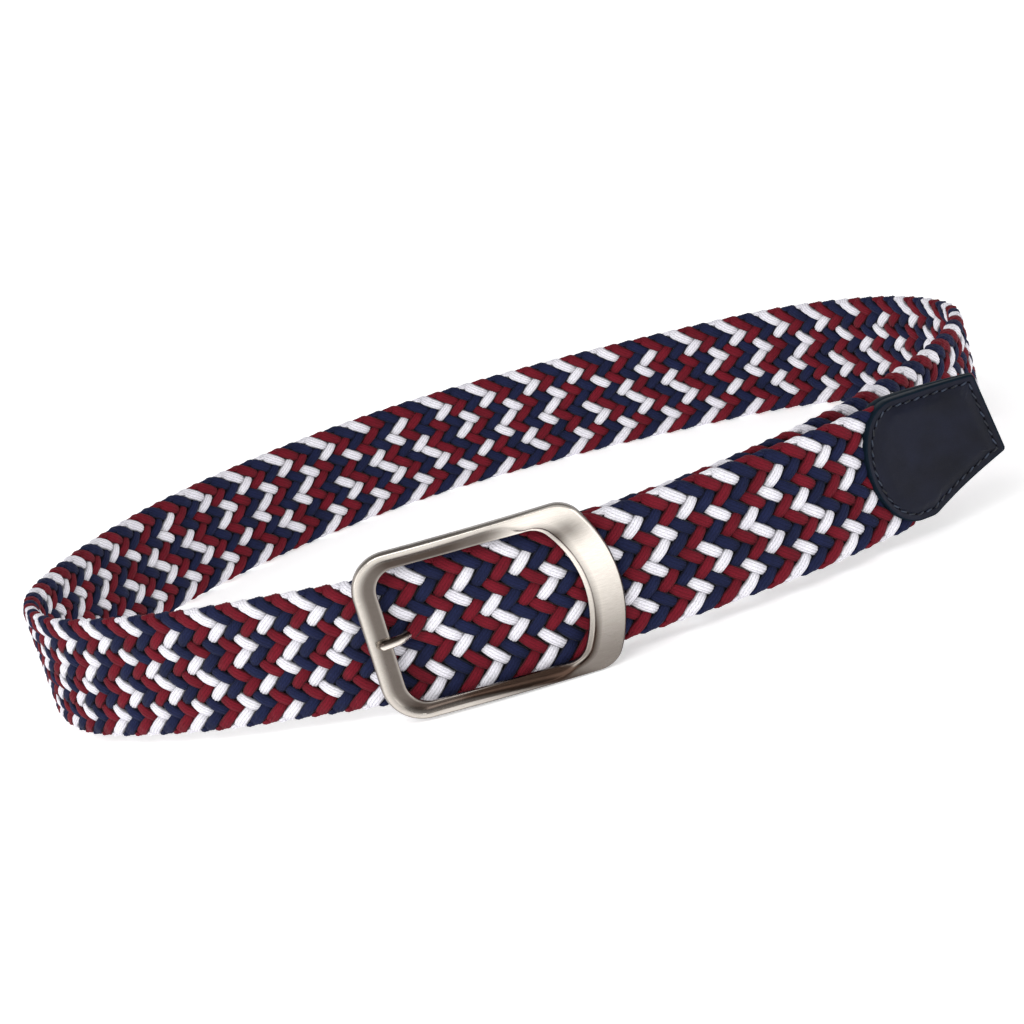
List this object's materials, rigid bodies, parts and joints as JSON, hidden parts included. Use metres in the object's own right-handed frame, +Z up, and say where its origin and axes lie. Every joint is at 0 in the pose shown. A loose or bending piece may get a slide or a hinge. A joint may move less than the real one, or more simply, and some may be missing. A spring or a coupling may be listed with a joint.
{
  "type": "elastic stretch belt",
  "caption": "Braided elastic stretch belt, fastened as a loop, with a cast pin buckle, a leather tab and a pointed leather tip.",
  "frame": {"origin": "under the middle of the fastened loop, on the surface that it stands on", "axes": "+X to the right along the front of the loop, +Y from the buckle to the back of the loop, +Z up the height of the strap"},
  "size_m": [0.2918, 0.2342, 0.0462],
  "materials": {
    "braid": "woven cords in white, deep red and navy",
    "nickel": "satin brushed nickel plate on cast zinc",
    "leather": "smooth dark navy, softly shining"
  },
  "bodies": {
    "root": {"braided_strap": "braid", "buckle_frame": "nickel", "prong": "nickel", "buckle_tab": "leather", "tip_leather": "leather"}
  },
  "joints": []
}
